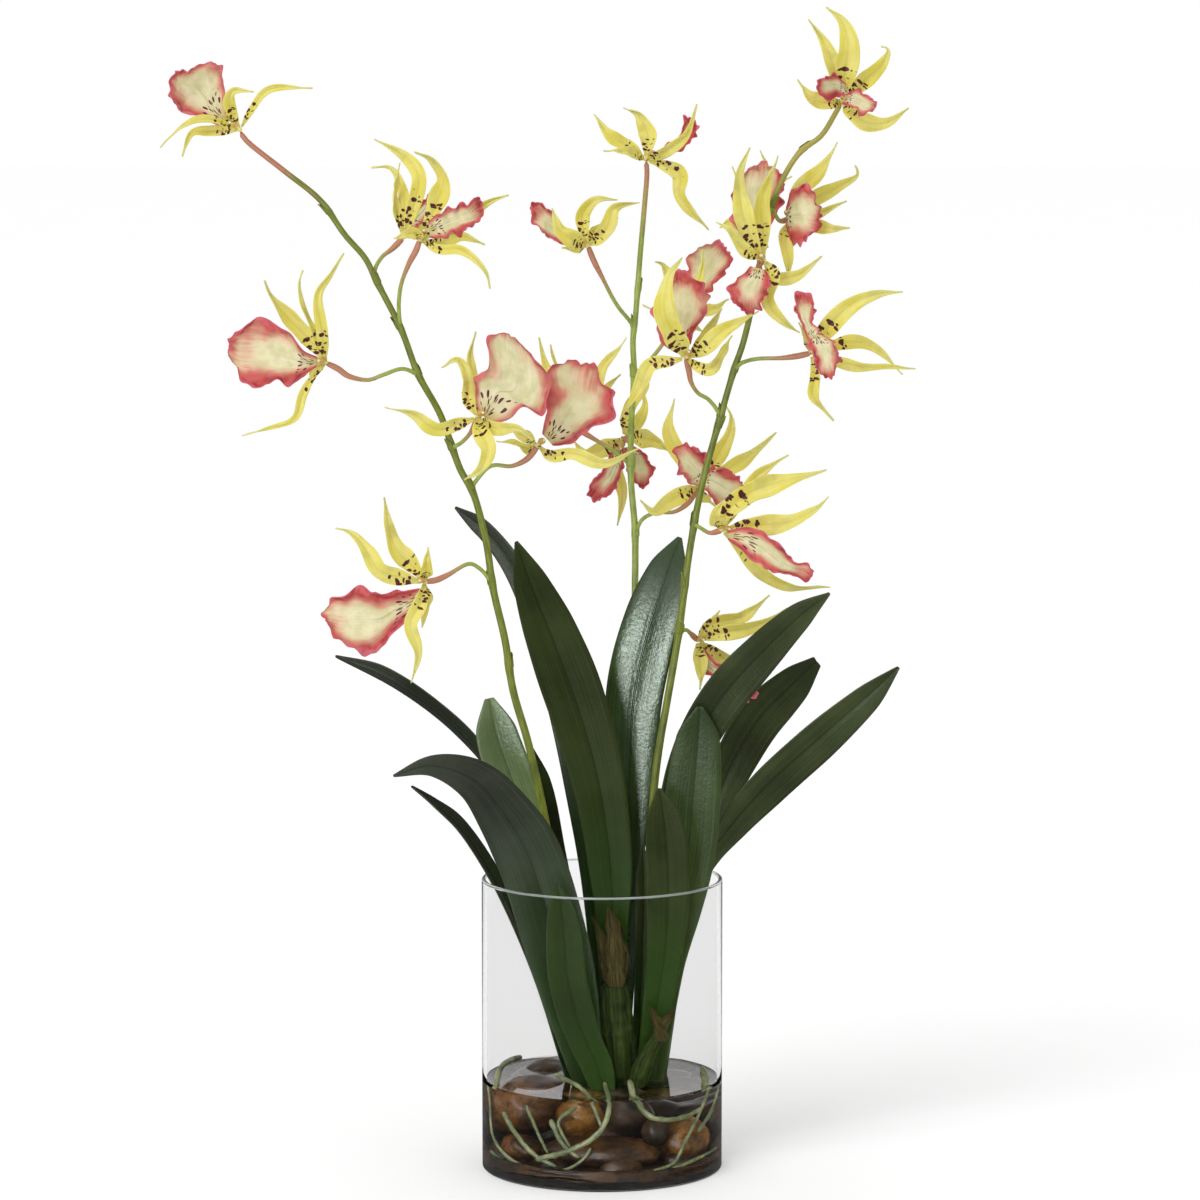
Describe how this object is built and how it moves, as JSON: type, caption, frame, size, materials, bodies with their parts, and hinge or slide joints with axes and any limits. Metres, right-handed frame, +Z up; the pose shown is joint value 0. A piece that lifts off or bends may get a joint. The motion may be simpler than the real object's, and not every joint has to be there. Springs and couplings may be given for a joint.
{
  "type": "potted spider orchid",
  "caption": "Spider orchid with spotted yellow flowers and ruffled coral lips on tall spikes, strap leaves, river stones and roots in a clear glass cylinder of clear fill.",
  "frame": {"origin": "centre of the glass vase's flat foot, which stands on the table", "axes": "+Z up along the vase's axis, -Y towards the front, +X to the right seen from the front"},
  "size_m": [0.4581, 0.2218, 0.7317],
  "materials": {
    "glass": "clear polished glass",
    "water": "clear cast resin that looks like water",
    "stone": "smooth wet river stone in browns and ochre",
    "root": "pale grey-green root with a mealy coat",
    "bulb": "ribbed satin green",
    "sheath": "dry fibrous husk",
    "leaf": "dark green with a waxy sheen and a grey underside",
    "spike": "satin green, reddish towards the flowers",
    "flower": "soft yellow-green with maroon blotches and a coral lip"
  },
  "bodies": {
    "root": {"flower_left_fifth": "flower", "flower_left_fourth": "flower", "flower_left_low": "flower", "flower_left_second": "flower", "flower_left_second_back": "flower", "flower_left_third": "flower", "flower_left_top": "flower", "flower_middle_behind": "flower", "flower_middle_far": "flower", "flower_middle_hidden": "flower", "flower_middle_large": "flower", "flower_middle_second": "flower", "flower_middle_top": "flower", "flower_right_fifth": "flower", "flower_right_fourth": "flower", "flower_right_low": "flower", "flower_right_second": "flower", "flower_right_sixth": "flower", "flower_right_third": "flower", "flower_right_third_back": "flower", "flower_right_top": "flower", "glass_vase": "glass", "leaf_back_left": "leaf", "leaf_centre_narrow": "leaf", "leaf_centre_right": "leaf", "leaf_centre_tall": "leaf", "leaf_front_short": "leaf", "leaf_left_dark": "leaf", "leaf_left_far": "leaf", "leaf_left_front": "leaf", "leaf_left_short": "leaf", "leaf_left_thin": "leaf", "leaf_right_far": "leaf", "leaf_right_front": "leaf", "leaf_right_round": "leaf", "leaf_right_short": "leaf", "leaf_right_upper": "leaf", "pseudobulb_centre": "bulb", "pseudobulb_right": "bulb", "root_front_arc": "root", "root_left_arc": "root", "root_left_fork": "root", "root_right_rise": "root", "root_right_thick": "root", "sheath_centre": "sheath", "sheath_right": "sheath", "spike_left": "spike", "spike_middle": "spike", "spike_right": "spike", "stone_back_left": "stone", "stone_back_low": "stone", "stone_back_right": "stone", "stone_centre": "stone", "stone_centre_dark": "stone", "stone_front_pink": "stone", "stone_left_large": "stone", "stone_left_low": "stone", "stone_right_ochre": "stone", "stone_right_small": "stone", "water_fill": "water"}
  },
  "joints": []
}
